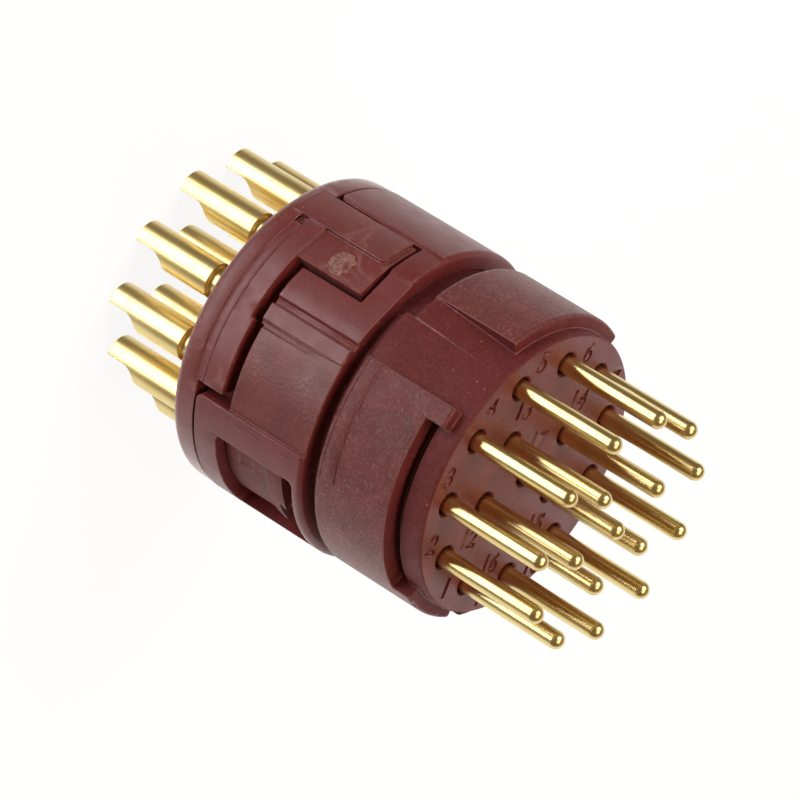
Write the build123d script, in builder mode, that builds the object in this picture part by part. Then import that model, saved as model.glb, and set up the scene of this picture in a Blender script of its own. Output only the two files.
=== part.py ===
from build123d import *
from math import asin, cos, degrees, radians, sin, tan
import os

# Seventeen-contact circular connector insert with solder cups and male pins.
# A stack of three moulded insulators, the rear cap, the middle sleeve and the front insulator, holds
# seventeen turned and gold-plated contacts. The insert stands on the open ends of its solder cups: the
# origin lies on the connector axis at those ends, +Z points towards the pin tips, and contact 1 lies on
# +X. Angles are in degrees, counted anticlockwise from +X seen from the pin side, and lengths are in
# millimetres. Both sides of the stack are alike, half a turn apart.

# Contact: lengths along the axis, from the open end of the solder cup towards the pin tip
cup_length = 5.05
cup_groove_length = 0.5
bare_shank_length = 0.75
flange_length = 1.3
pin_neck_setback = 3.4
pin_protrusion = 6.55

# Contact: diameters
pin_diameter = 1.0
pin_neck_diameter = 1.8
flange_diameter = 2.5
shank_diameter = 2.0
cup_groove_diameter = 1.45
cup_diameter = 2.05
cup_bore_diameter = 1.5
cup_bore_depth = 3.7
cup_edge_break = 0.06

# Contact: scoop milled into the side of the solder cup
scoop_direction = 0.0
scoop_level = 0.28
scoop_flat_length = 1.05
scoop_cutter_radius = 1.0
drill_point_angle = 118.0

# Contact layout: an outer ring, five places half a pitch off on an inner ring, and one in the centre
outer_count = 11
outer_circle_diameter = 12.8
inner_circle_diameter = 6.46
inner_steps = (1.5, 3.5, 6.5, 8.5, 10.5)

# Fits between the pieces
bore_clearance = 0.04
pin_hole_clearance = 0.14
sleeve_clearance = 0.05
parting_gap = 0.15
seam_gap = 0.16
tongue_gap = 0.3
shadow_gap = 0.6

# Walls from the outer ring of contacts out to the body's surface
flange_wall = 0.26
sleeve_wall = 1.0

# Rear cap
cap_rim_length = 1.55
cap_edge_radius = 0.55
cap_boss_height = 0.3

# Rear cap: the sector that reaches forward on each side, its step and its tongue, in degrees and lengths
sector_start = 211.5
sector_end = 295.0
sector_length = 1.45
step_angle = 266.5
step_length = 0.2
tongue_sweep = 29.0
tongue_length = 5.75
plate_sweep = 14.5
plate_setback = 0.3
plate_rear_setback = 0.8
tile_depth = 0.2
cap_skin_depth = 0.05
band_setback = 1.3
band_width = 0.55
band_depth = 0.03
notch_sweep = 3.8
notch_depth = 0.25
plate_corner_radius = 0.3

# Middle sleeve
sleeve_length = 7.4
sleeve_edge_radius = 0.3
sleeve_corner_radius = 0.6
lap_corner_radius = 0.35
lap_angle = 299.0
window_centre = 331.0
window_width = 6.1
window_setback = 1.5
window_rail = 0.55
window_corner_radius = 0.35

# Middle sleeve: low panels beside the lap and over the tongue's plate
lap_panel_start = 264.6
lap_panel_depth = 0.16
plate_panel_start = 209.3
plate_panel_depth = 0.07
plate_panel_setback = 3.0
facet_depth = 0.22
facet_rise = 0.02
groove_depth = 0.42
groove_rib_height = 0.06
band_panel_depth = 0.09

# Middle sleeve: facets between those panels, as (angle, depth below the body's surface)
sleeve_facets = (
    (226.2, plate_panel_depth),
    (228.3, facet_depth),
    (250.0, facet_depth),
    (255.2, facet_depth - facet_rise),
    (256.1, groove_depth),
    (257.4, groove_depth - groove_rib_height),
    (258.0, groove_depth),
    (258.8, band_panel_depth),
    (lap_panel_start, band_panel_depth),
)
seam_start = 265.2
seam_sweep = 2.2
seam_length = 3.3
seam_depth = 0.1

# Front insulator: snap lug on the barrel that shows in each window of the sleeve, a low shelf with a
# shallow groove, then a ramp that rises to a steep front and runs out in a narrow tip
lug_margin = 0.12
lug_front_margin = 0.98
lug_side_margin = 0.45
lug_tip_margin = 0.9
shelf_height = 0.38
shelf_groove_setback = 0.9
shelf_groove_width = 0.9
shelf_groove_depth = 0.08
shelf_groove_length = 1.6
ramp_length = 1.42
ramp_rear_height = 0.5
ramp_angle = 10.0
ramp_tip_width = 0.75
ramp_tip_length = 2.2
ramp_corner_radius = 0.3

# Front insulator: head with its lands and keyways
head_gap = 0.3
head_length = 7.22
head_step = 0.15
face_chamfer = 0.1
hole_countersink = 0.1
land_setback = 0.175
land_edge_radius = 0.25
land_rear_radius = 0.4
land_front_setback = 0.72
land_rear_setback = 0.4
wide_land_rear_setback = 0.95
wide_land_centre = 193.0
wide_land_sweep = 65.5
relief_length = 0.65
relief_lap = 11.0
side_keyway_sweep = 31.0
side_keyway_rear_depth = 0.12
narrow_keyway_sweep = 8.0
foot_sweep = 31.0
finger_sweep = 7.5
foot_length = 1.2
slot_width = 0.5
slot_depth = 0.6
strip_sweep = 46.0
strip_length = 1.25
strip_height = 0.04

# Places along the axis that follow from the sizes above
cap_rear = cup_length + cup_groove_length + bare_shank_length
cap_rim_front = cap_rear + cap_rim_length
barrel_rear = cap_rim_front + cap_boss_height
flange_front = barrel_rear + flange_length
sleeve_rear = cap_rim_front + parting_gap
sleeve_front = sleeve_rear + sleeve_length
head_rear = sleeve_front + head_gap
face = head_rear + head_length
pin_neck = face - pin_neck_setback
pin_tip = face + pin_protrusion
land_front = face - land_front_setback
foot_rear = land_front - foot_length
sector_front = cap_rim_front + sector_length
tongue_front = cap_rim_front + tongue_length
window_rear = sleeve_rear + window_setback
window_front = sleeve_front - window_rail

# Radii and angles that follow from the sizes above
barrel_radius = (outer_circle_diameter + flange_diameter) / 2 + bore_clearance + flange_wall
sleeve_bore_radius = barrel_radius + sleeve_clearance
body_radius = sleeve_bore_radius + sleeve_wall
head_radius = barrel_radius + head_step
land_radius = body_radius - land_setback
window_half_angle = degrees(asin(window_width / 2 / body_radius))
tile_start = sector_start + plate_sweep
tongue_end = sector_start + tongue_sweep
wide_land_start = wide_land_centre - wide_land_sweep / 2
main_land_start = wide_land_start + wide_land_sweep + side_keyway_sweep
main_land_sweep = 360 - wide_land_sweep - 2 * side_keyway_sweep
foot_start = main_land_start + (main_land_sweep - narrow_keyway_sweep) / 2 - foot_sweep
pitch = 360 / outer_count
sides = (0, 180)
cut_margin = 1.0


def ring_place(diameter, step):
    """Centre of a contact on a ring, with its step counted clockwise from +X."""
    angle = radians(-step * pitch)
    return diameter / 2 * cos(angle), diameter / 2 * sin(angle)


outer_places = [ring_place(outer_circle_diameter, step) for step in range(outer_count)]
inner_places = [ring_place(inner_circle_diameter, step) for step in inner_steps]
contact_places = outer_places + inner_places + [(0.0, 0.0)]


def gap_angle(gap, radius):
    """Angle that a gap of the given length spans at a radius."""
    return degrees(gap / radius)


def radial_plane(angle):
    """Plane that holds the connector axis: its x runs outwards at the angle, its y along +Z."""
    turn = radians(angle)
    return Plane(origin=(0, 0, 0), x_dir=(cos(turn), sin(turn), 0), z_dir=(sin(turn), -cos(turn), 0))


def tangent_plane(angle, radius):
    """Plane that touches the cylinder of the radius at the angle: its z runs outwards, its y along +Z."""
    turn = radians(angle)
    outwards = Vector(cos(turn), sin(turn), 0)
    return Plane(origin=outwards * radius, x_dir=(-sin(turn), cos(turn), 0), z_dir=outwards)


def ring_segment(start, sweep, inner, outer, low, high, mode=Mode.ADD):
    """Adds or cuts a segment of a ring of rectangular section in the part under construction."""
    with BuildSketch(radial_plane(start)) as section:
        with Locations(((inner + outer) / 2, (low + high) / 2)):
            Rectangle(outer - inner, high - low)
    revolve(section.sketch, axis=Axis.Z, revolution_arc=sweep, mode=mode)


def polar_point(radius, angle):
    """Point across the connector axis at a radius and an angle."""
    return radius * cos(radians(angle)), radius * sin(radians(angle))


def facet_cut(outline, turn, low, high):
    """Cuts flat facets into the body's surface along an outline of angles and depths."""
    surface = [polar_point(body_radius - depth, angle + turn) for angle, depth in outline]
    outside = [polar_point(body_radius + cut_margin, angle + turn) for angle, depth in reversed(outline)]
    with BuildSketch(Plane.XY.offset(low)) as facets:
        Polygon(*surface, *outside, align=None)
    extrude(facets.sketch, amount=high - low, mode=Mode.SUBTRACT)


def keyway_ramp(start, sweep, rear):
    """Adds the sloping floor of a side keyway, which falls from the rear to the head's own surface."""
    inner = head_radius - cut_margin
    floor_radius = land_radius - side_keyway_rear_depth
    with BuildSketch(radial_plane(start)) as section:
        with BuildLine():
            Polyline(
                (floor_radius, rear + land_rear_radius),
                (head_radius, land_front),
                (inner, land_front),
                (inner, rear),
                (floor_radius - land_rear_radius, rear),
            )
            RadiusArc(
                (floor_radius, rear + land_rear_radius),
                (floor_radius - land_rear_radius, rear),
                land_rear_radius,
            )
        make_face()
    revolve(section.sketch, axis=Axis.Z, revolution_arc=sweep)


def land(start, sweep, rear):
    """Adds a raised land of the head, with its outer edges rounded at the front and the rear."""
    inner = head_radius - cut_margin
    with BuildSketch(radial_plane(start)) as section:
        with BuildLine():
            Polyline(
                (land_radius - land_rear_radius, rear),
                (inner, rear),
                (inner, land_front),
                (land_radius - land_edge_radius, land_front),
            )
            RadiusArc(
                (land_radius - land_edge_radius, land_front),
                (land_radius, land_front - land_edge_radius),
                land_edge_radius,
            )
            Line((land_radius, land_front - land_edge_radius), (land_radius, rear + land_rear_radius))
            RadiusArc(
                (land_radius, rear + land_rear_radius),
                (land_radius - land_rear_radius, rear),
                land_rear_radius,
            )
        make_face()
    revolve(section.sketch, axis=Axis.Z, revolution_arc=sweep)


def lug_ramp(start, sweep, rear, front):
    """Adds a stretch of a snap lug's ramp, which rises towards its steep front."""
    inner = barrel_radius - cut_margin
    rise = (front - rear) * tan(radians(ramp_angle))
    with BuildSketch(radial_plane(start)) as section:
        Polygon(
            (inner, rear),
            (barrel_radius + ramp_rear_height, rear),
            (barrel_radius + ramp_rear_height + rise, front),
            (inner, front),
            align=None,
        )
    revolve(section.sketch, axis=Axis.Z, revolution_arc=sweep)


def round_radial_edge(solid, angle, radius, height, rounding):
    """Rounds the edge of the part under construction that lies nearest to a place."""
    place = (*polar_point(radius, angle), height)
    fillet(solid.edges().sort_by_distance(place)[0], rounding)


def contact_holes(radius, low, high):
    """Cuts one round hole for each contact between two heights."""
    with BuildSketch(Plane.XY.offset(low)) as holes:
        with Locations(*contact_places):
            Circle(radius)
    extrude(holes.sketch, amount=high - low, mode=Mode.SUBTRACT)


def build_contact(place):
    """One turned contact: solder cup, groove, shank, flange, body and round-nosed pin."""
    x, y = place
    axis = Axis((x, y, 0), (0, 0, 1))
    section = Plane(origin=(x, y, 0), x_dir=(1, 0, 0), z_dir=(0, -1, 0))
    cup, groove = cup_diameter / 2, cup_groove_diameter / 2
    shank, flange = shank_diameter / 2, flange_diameter / 2
    neck, pin = pin_neck_diameter / 2, pin_diameter / 2
    bore = cup_bore_diameter / 2
    groove_front = cup_length + cup_groove_length
    drill_point = bore / tan(radians(drill_point_angle / 2))
    with BuildPart() as contact:
        with BuildSketch(section):
            with BuildLine():
                Polyline(
                    (0, 0),
                    (cup - cup_edge_break, 0),
                    (cup, cup_edge_break),
                    (cup, cup_length - cup_edge_break),
                    (cup - cup_edge_break, cup_length),
                    (groove, cup_length),
                    (groove, groove_front),
                    (shank - cup_edge_break, groove_front),
                    (shank, groove_front + cup_edge_break),
                    (shank, barrel_rear),
                    (flange, barrel_rear),
                    (flange, flange_front),
                    (neck, flange_front),
                    (neck, pin_neck),
                    (pin, pin_neck),
                    (pin, pin_tip - pin),
                )
                RadiusArc((pin, pin_tip - pin), (0, pin_tip), -pin)
                Line((0, pin_tip), (0, 0))
            make_face()
        revolve(axis=axis)
        with BuildSketch(section):
            with BuildLine():
                Polyline((0, 0), (bore, 0), (bore, cup_bore_depth), (0, cup_bore_depth + drill_point), (0, 0))
            make_face()
        revolve(axis=axis, mode=Mode.SUBTRACT)
        turn = radians(scoop_direction)
        milling = Plane(origin=(x, y, 0), x_dir=(cos(turn), sin(turn), 0), z_dir=(sin(turn), -cos(turn), 0))
        with BuildSketch(milling):
            with BuildLine():
                top = scoop_level + scoop_cutter_radius
                Polyline(
                    (scoop_level, scoop_flat_length),
                    (scoop_level, -cut_margin),
                    (top, -cut_margin),
                    (top, scoop_flat_length + scoop_cutter_radius),
                )
                RadiusArc(
                    (top, scoop_flat_length + scoop_cutter_radius),
                    (scoop_level, scoop_flat_length),
                    scoop_cutter_radius,
                )
            make_face()
        extrude(amount=cup_diameter, both=True, mode=Mode.SUBTRACT)
    return contact


os.makedirs("parts", exist_ok=True)

for number, place in enumerate(contact_places, start=1):
    contact = build_contact(place)
    contact.part.label = f"contact_{number}"
    export_step(contact.part, f"parts/contact_{number}.step")

# Rear cap: a drilled disc with a rounded rear edge, and on each side a sector that reaches forward
# and ends in a tongue, whose one half is a plate and whose other half is a sunk tile
with BuildPart() as rear_cap:
    rim_radius = body_radius - cap_skin_depth
    with BuildSketch(radial_plane(0)):
        with BuildLine():
            Polyline(
                (rim_radius - cap_edge_radius, cap_rear),
                (0, cap_rear),
                (0, barrel_rear),
                (barrel_radius, barrel_rear),
                (barrel_radius, cap_rim_front),
                (rim_radius, cap_rim_front),
                (rim_radius, cap_rear + cap_edge_radius),
            )
            RadiusArc(
                (rim_radius, cap_rear + cap_edge_radius),
                (rim_radius - cap_edge_radius, cap_rear),
                cap_edge_radius,
            )
        make_face()
    revolve(axis=Axis.Z)
    for side in sides:
        low = cap_rim_front - cap_boss_height
        step_start = side + step_angle
        ring_segment(
            side + sector_start, step_angle - sector_start, sleeve_bore_radius, rim_radius, low, sector_front
        )
        ring_segment(
            step_start, sector_end - step_angle, sleeve_bore_radius, rim_radius,
            low, sector_front + step_length,
        )
        ring_segment(
            side + sector_start, tongue_sweep, sleeve_bore_radius, body_radius - tile_depth, low, tongue_front
        )
        ring_segment(
            side + sector_start, plate_sweep, sleeve_bore_radius, body_radius,
            cap_rear + plate_rear_setback, tongue_front - plate_setback,
        )
        band = cap_rear + band_setback
        ring_segment(
            side + tile_start, sector_end - tile_start, rim_radius - band_depth, body_radius + cut_margin,
            band, band + band_width, Mode.SUBTRACT,
        )
        ring_segment(
            side + tile_start, notch_sweep, rim_radius - notch_depth, body_radius + cut_margin,
            band, band + band_width, Mode.SUBTRACT,
        )
        plate_wall = body_radius - tile_depth / 2
        plate_front = tongue_front - plate_setback
        round_radial_edge(rear_cap, side + tile_start, plate_wall, plate_front, plate_corner_radius)
    contact_holes(shank_diameter / 2 + bore_clearance, cap_rear - cut_margin, barrel_rear + cut_margin)
rear_cap.part.label = "rear_cap"
export_step(rear_cap.part, "parts/rear_cap.step")

# Middle sleeve: a thin tube, notched from the rear on each side for the cap's sector and tongue, with
# one window a side and shallow panels between them
with BuildPart() as middle_sleeve:
    with BuildSketch(radial_plane(0)):
        with BuildLine():
            Polyline(
                (body_radius, sleeve_front - sleeve_edge_radius),
                (body_radius, sleeve_rear),
                (sleeve_bore_radius, sleeve_rear),
                (sleeve_bore_radius, sleeve_front),
                (body_radius - sleeve_edge_radius, sleeve_front),
            )
            RadiusArc(
                (body_radius - sleeve_edge_radius, sleeve_front),
                (body_radius, sleeve_front - sleeve_edge_radius),
                sleeve_edge_radius,
            )
        make_face()
    revolve(axis=Axis.Z)
    notch_inner, notch_outer = sleeve_bore_radius - cut_margin, body_radius + cut_margin
    for side in sides:
        low = sleeve_rear - cut_margin
        notch_start = side + sector_start - gap_angle(seam_gap, body_radius)
        step_start = side + step_angle
        tongue_notch_end = side + tongue_end + gap_angle(tongue_gap, body_radius)
        ring_segment(
            notch_start, step_start - notch_start, notch_inner, notch_outer,
            low, sector_front + shadow_gap, Mode.SUBTRACT,
        )
        ring_segment(
            step_start, lap_angle - step_angle, notch_inner, notch_outer,
            low, sector_front + step_length + shadow_gap, Mode.SUBTRACT,
        )
        ring_segment(
            notch_start, tongue_notch_end - notch_start, notch_inner, notch_outer,
            low, tongue_front + tongue_gap, Mode.SUBTRACT,
        )
    mid_wall = (sleeve_bore_radius + body_radius) / 2
    for side in sides:
        notch_start = side + sector_start - gap_angle(seam_gap, body_radius)
        round_radial_edge(middle_sleeve, notch_start, mid_wall, sleeve_rear, sleeve_corner_radius)
        round_radial_edge(middle_sleeve, side + lap_angle, mid_wall, sleeve_rear, lap_corner_radius)
    for side in sides:
        top = sleeve_front + cut_margin
        ring_segment(
            side + lap_panel_start, lap_angle - lap_panel_start, body_radius - lap_panel_depth, notch_outer,
            sleeve_rear - cut_margin, top, Mode.SUBTRACT,
        )
        plate_panel_sweep = sleeve_facets[0][0] - plate_panel_start
        ring_segment(
            side + plate_panel_start, plate_panel_sweep, body_radius - plate_panel_depth, notch_outer,
            sleeve_rear + plate_panel_setback, top, Mode.SUBTRACT,
        )
        facet_cut(sleeve_facets, side, sleeve_rear - cut_margin, top)
        seam_rear = sector_front + shadow_gap
        ring_segment(
            side + seam_start, seam_sweep, body_radius - lap_panel_depth - seam_depth, notch_outer,
            seam_rear, seam_rear + seam_length, Mode.SUBTRACT,
        )
        with BuildSketch(tangent_plane(side + window_centre, body_radius + cut_margin)):
            with Locations((0, (window_rear + window_front) / 2)):
                RectangleRounded(window_width, window_front - window_rear, window_corner_radius)
        extrude(amount=-(body_radius - sleeve_bore_radius + 2 * cut_margin), mode=Mode.SUBTRACT)
middle_sleeve.part.label = "middle_sleeve"
export_step(middle_sleeve.part, "parts/middle_sleeve.step")

# Front insulator: the barrel that the sleeve slides over, and the head with its lands and keyways
with BuildPart() as front_insulator:
    with BuildSketch(radial_plane(0)):
        Polygon(
            (0, barrel_rear),
            (barrel_radius, barrel_rear),
            (barrel_radius, head_rear),
            (head_radius, head_rear),
            (head_radius, face - face_chamfer),
            (head_radius - face_chamfer, face),
            (0, face),
            align=None,
        )
    revolve(axis=Axis.Z)
    core = head_radius - cut_margin
    relief_start = wide_land_start - relief_lap
    ring_segment(
        relief_start, wide_land_sweep + 2 * relief_lap, barrel_radius, head_radius + cut_margin,
        head_rear - head_gap / 2, head_rear + relief_length, Mode.SUBTRACT,
    )
    land(wide_land_start, wide_land_sweep, head_rear + wide_land_rear_setback)
    land(main_land_start, main_land_sweep, head_rear + land_rear_setback)
    main_land_end = main_land_start + main_land_sweep
    wide_land_end = wide_land_start + wide_land_sweep
    keyway_lap = side_keyway_sweep - relief_lap
    keyway_ramp(wide_land_end, relief_lap, head_rear + wide_land_rear_setback)
    keyway_ramp(wide_land_end + relief_lap, keyway_lap, head_rear + land_rear_setback)
    keyway_ramp(relief_start, relief_lap, head_rear + wide_land_rear_setback)
    keyway_ramp(wide_land_start - side_keyway_sweep, keyway_lap, head_rear + land_rear_setback)
    foot_end = main_land_end - (foot_start - main_land_start)
    recesses = (
        (main_land_start + finger_sweep, foot_start),
        (foot_end, main_land_end - finger_sweep),
    )
    for start, end in recesses:
        ring_segment(
            start, end - start, head_radius, land_radius + cut_margin,
            foot_rear, face + cut_margin, Mode.SUBTRACT,
        )
        ring_segment(
            start, end - start, head_radius - slot_depth, land_radius + cut_margin,
            foot_rear, foot_rear + slot_width, Mode.SUBTRACT,
        )
    ring_segment(
        foot_start + foot_sweep, narrow_keyway_sweep, head_radius, land_radius + cut_margin,
        foot_rear, face + cut_margin, Mode.SUBTRACT,
    )
    strip_rear = head_rear + land_rear_setback
    ring_segment(
        main_land_start, strip_sweep, core, land_radius + strip_height,
        strip_rear + land_rear_radius, strip_rear + strip_length,
    )
    lug_start = window_centre - window_half_angle + gap_angle(lug_side_margin, body_radius)
    lug_end = window_centre + window_half_angle - gap_angle(lug_tip_margin, body_radius)
    lug_sweep = lug_end - lug_start
    tip_sweep = gap_angle(ramp_tip_length, body_radius)
    tip_start = lug_end - tip_sweep
    shelf_rear = window_rear + lug_margin
    ramp_front = window_front - lug_front_margin
    ramp_rear = ramp_front - ramp_length
    shelf_radius = barrel_radius + shelf_height
    groove_rear = shelf_rear + shelf_groove_setback
    groove_sweep = gap_angle(shelf_groove_length, body_radius)
    tip_front = ramp_rear + ramp_tip_width
    tip_wall = barrel_radius + ramp_rear_height / 2
    for side in sides:
        ring_segment(side + lug_start, lug_sweep, core, shelf_radius, shelf_rear, ramp_rear)
        ring_segment(
            side + lug_start, groove_sweep, shelf_radius - shelf_groove_depth, body_radius,
            groove_rear, groove_rear + shelf_groove_width, Mode.SUBTRACT,
        )
        lug_ramp(side + lug_start, tip_start - lug_start, ramp_rear, ramp_front)
        lug_ramp(side + tip_start, tip_sweep, ramp_rear, tip_front)
        round_radial_edge(front_insulator, side + lug_end, tip_wall, tip_front, ramp_corner_radius)
        round_radial_edge(front_insulator, side + tip_start, tip_wall, tip_front, ramp_corner_radius)
    contact_holes(flange_diameter / 2 + bore_clearance, barrel_rear - cut_margin, flange_front)
    contact_holes(pin_neck_diameter / 2 + bore_clearance, flange_front, pin_neck)
    pin_hole_radius = pin_diameter / 2 + pin_hole_clearance
    contact_holes(pin_hole_radius, pin_neck, face + cut_margin)
    rims = front_insulator.edges().filter_by(GeomType.CIRCLE).group_by(Axis.Z)[-1]
    chamfer(rims.filter_by(lambda rim_edge: rim_edge.radius <= pin_hole_radius), hole_countersink)
front_insulator.part.label = "front_insulator"
export_step(front_insulator.part, "parts/front_insulator.step")
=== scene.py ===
import logging
import math
from dataclasses import dataclass, replace
from enum import Enum

import bmesh
import bpy
from mathutils import Matrix, Quaternion, Vector, noise
from mathutils.bvhtree import BVHTree


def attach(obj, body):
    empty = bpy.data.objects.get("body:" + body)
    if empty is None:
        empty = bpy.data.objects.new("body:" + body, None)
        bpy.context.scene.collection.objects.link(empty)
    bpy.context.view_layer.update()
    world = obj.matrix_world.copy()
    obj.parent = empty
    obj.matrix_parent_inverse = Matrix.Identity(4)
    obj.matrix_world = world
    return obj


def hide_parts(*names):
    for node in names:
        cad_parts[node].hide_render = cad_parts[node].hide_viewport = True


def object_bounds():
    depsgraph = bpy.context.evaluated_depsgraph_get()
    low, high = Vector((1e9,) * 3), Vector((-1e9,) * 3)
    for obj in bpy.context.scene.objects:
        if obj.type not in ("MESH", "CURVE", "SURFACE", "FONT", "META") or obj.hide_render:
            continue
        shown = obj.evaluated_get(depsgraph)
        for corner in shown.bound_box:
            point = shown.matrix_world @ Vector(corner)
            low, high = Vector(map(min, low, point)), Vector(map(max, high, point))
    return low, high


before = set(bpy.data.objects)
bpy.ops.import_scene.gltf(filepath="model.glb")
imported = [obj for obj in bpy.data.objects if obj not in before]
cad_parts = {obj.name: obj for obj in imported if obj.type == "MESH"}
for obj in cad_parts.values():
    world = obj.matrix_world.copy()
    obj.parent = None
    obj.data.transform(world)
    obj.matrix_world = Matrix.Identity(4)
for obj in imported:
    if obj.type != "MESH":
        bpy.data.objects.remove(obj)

# Dresses a seventeen-contact circular connector insert: rounded mouldings, gold-plated contacts, engraved
# contact numbers, and a studio. Sizes in the classes are in millimetres, angles in degrees.

LOG = logging.getLogger("connector_insert")
MM = 0.001
BODY = "root"
CAD_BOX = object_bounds()
WHITE = "#FFFFFF"

# Most of a noise texture's values lie between these two.
NOISE_LOW, NOISE_HIGH = 0.3, 0.7


def linear(code: str) -> tuple[float, float, float, float]:
    """Turns an sRGB hex colour into a linear colour with full alpha.

    Args:
        code: The colour as six hex digits after a hash, such as "#73413E".

    Returns:
        Red, green, blue and alpha between 0 and 1.
    """
    channels = [int(code[i:i + 2], 16) / 255 for i in (1, 3, 5)]
    curve = [c / 12.92 if c <= 0.04045 else ((c + 0.055) / 1.055) ** 2.4 for c in channels]
    return curve[0], curve[1], curve[2], 1.0


def add_node(tree: bpy.types.NodeTree, kind: str, settings: dict[str, object] | None = None,
             inputs: dict[str | int, object] | None = None) -> bpy.types.Node:
    """Adds one node to a tree with its settings and links.

    Args:
        tree: The shader or geometry tree.
        kind: The node's type, such as "ShaderNodeMath".
        settings: Properties of the node, such as {"operation": "ADD"}.
        inputs: What each input gets, by its name or number: a value, an output socket to link, or a
            node, whose first output is linked.

    Returns:
        The new node.
    """
    node = tree.nodes.new(kind)
    for key, value in (settings or {}).items():
        setattr(node, key, value)
    for key, value in (inputs or {}).items():
        source = value.outputs[0] if isinstance(value, bpy.types.Node) else value
        if isinstance(source, bpy.types.NodeSocket):
            tree.links.new(source, node.inputs[key])
        else:
            node.inputs[key].default_value = value
    return node


def new_material(name: str) -> tuple[bpy.types.Material, bpy.types.NodeTree]:
    """Makes a material whose node tree is empty.

    Args:
        name: The material's name.

    Returns:
        The material and its tree.
    """
    material = bpy.data.materials.new(name)
    material.use_nodes = True
    material.node_tree.nodes.clear()
    return material, material.node_tree


def millimetres(tree: bpy.types.NodeTree) -> bpy.types.Node:
    """Adds Object coordinates in millimetres to a material's tree."""
    place = add_node(tree, "ShaderNodeTexCoord").outputs["Object"]
    return add_node(tree, "ShaderNodeVectorMath", {"operation": "SCALE"}, {0: place, "Scale": 1 / MM})


def polar(radius: float, angle: float, z: float) -> Vector:
    """Point at a radius, an angle and a height, all in millimetres and degrees, returned in metres."""
    turn = math.radians(angle)
    return Vector((radius * math.cos(turn), radius * math.sin(turn), z)) * MM


def direction(azimuth: float, elevation: float) -> Vector:
    """Unit vector at an azimuth from +X and an elevation above the horizon, both in degrees."""
    turn, lift = math.radians(azimuth), math.radians(elevation)
    return Vector((math.cos(turn) * math.cos(lift), math.sin(turn) * math.cos(lift), math.sin(lift)))


def angle_of(point: Vector) -> float:
    """Angle of a point about the connector axis, from 0 to 360 degrees."""
    return math.degrees(math.atan2(point.y, point.x)) % 360


def within(angle: float, start: float, end: float) -> bool:
    """Tells whether an angle lies between two others, counted anticlockwise."""
    return (angle - start) % 360 <= (end - start) % 360


def linked(name: str, data: bpy.types.ID) -> bpy.types.Object:
    """Puts data, such as a mesh or a lamp, into the scene.

    Args:
        name: The new object's name.
        data: What the object holds.

    Returns:
        The object, at the origin.
    """
    thing = bpy.data.objects.new(name, data)
    bpy.context.scene.collection.objects.link(thing)
    return thing


def object_from(name: str, shell: bmesh.types.BMesh) -> bpy.types.Object:
    """Turns a mesh under construction into an object and frees it.

    Args:
        name: The name of the object and of its mesh.
        shell: The mesh under construction, in metres.

    Returns:
        The object, at the origin.
    """
    data = bpy.data.meshes.new(name)
    shell.to_mesh(data)
    shell.free()
    return linked(name, data)


def baked(piece: bpy.types.Object) -> bpy.types.Mesh:
    """Returns a plain mesh of an object with its modifiers applied."""
    graph = bpy.context.evaluated_depsgraph_get()
    return bpy.data.meshes.new_from_object(piece.evaluated_get(graph), preserve_all_data_layers=True,
                                           depsgraph=graph)


def apply_modifiers(piece: bpy.types.Object) -> None:
    """Replaces an object's mesh by its evaluated one and removes the modifiers.

    Args:
        piece: The object.
    """
    mesh = baked(piece)
    piece.modifiers.clear()
    piece.data = mesh


def carve(piece: bpy.types.Object, tool: bpy.types.Object, tangled: bool = False) -> None:
    """Cuts a solid out of a piece and removes the solid.

    Args:
        piece: The object that is cut.
        tool: The closed solid to cut out.
        tangled: Whether parts of the tool may run through each other.
    """
    cut = piece.modifiers.new(tool.name, "BOOLEAN")
    cut.operation = "DIFFERENCE"
    cut.solver = "EXACT"
    cut.use_self = tangled
    cut.object = tool
    apply_modifiers(piece)
    bpy.data.objects.remove(tool)


def shade(piece: bpy.types.Object, sharp_angle: float = 40.0, flat_weight: int = 50) -> None:
    """Shades a piece smooth, its large faces keeping their own direction.

    Args:
        piece: The object.
        sharp_angle: Angle in degrees past which an edge stays sharp.
        flat_weight: How much large faces count for, from 1 to 100.
    """
    piece.data.shade_smooth()
    piece.data.set_sharp_from_angle(angle=math.radians(sharp_angle))
    soften = piece.modifiers.new("face_weighted_normals", "WEIGHTED_NORMAL")
    soften.keep_sharp = True
    soften.weight = flat_weight
    apply_modifiers(piece)


def geometry_tree(name: str, inputs: dict[str, str]) -> tuple[bpy.types.NodeTree, bpy.types.NodeOutputs]:
    """Makes a geometry tree that takes a geometry and some named values, and gives a geometry.

    Args:
        name: The tree's name.
        inputs: The kind of each named value, such as {"Radius": "Float"}.

    Returns:
        The tree, and the sockets of its inputs.
    """
    tree = bpy.data.node_groups.new(name, "GeometryNodeTree")
    for way in ("INPUT", "OUTPUT"):
        tree.interface.new_socket("Geometry", in_out=way, socket_type="NodeSocketGeometry")
    for label, kind in inputs.items():
        tree.interface.new_socket(label, in_out="INPUT", socket_type=f"NodeSocket{kind}")
    return tree, add_node(tree, "NodeGroupInput").outputs


def end_tree(tree: bpy.types.NodeTree, shape: bpy.types.Node, material: bpy.types.NodeSocket) -> None:
    """Ends a geometry tree with a plain mesh in one material.

    Args:
        tree: The tree.
        shape: The node that gives what the tree has made.
        material: The socket of its material.
    """
    real = add_node(tree, "GeometryNodeRealizeInstances", {}, {0: shape})
    dressed = add_node(tree, "GeometryNodeSetMaterial", {}, {0: real, "Material": material})
    add_node(tree, "NodeGroupOutput", {}, {0: dressed})


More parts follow.
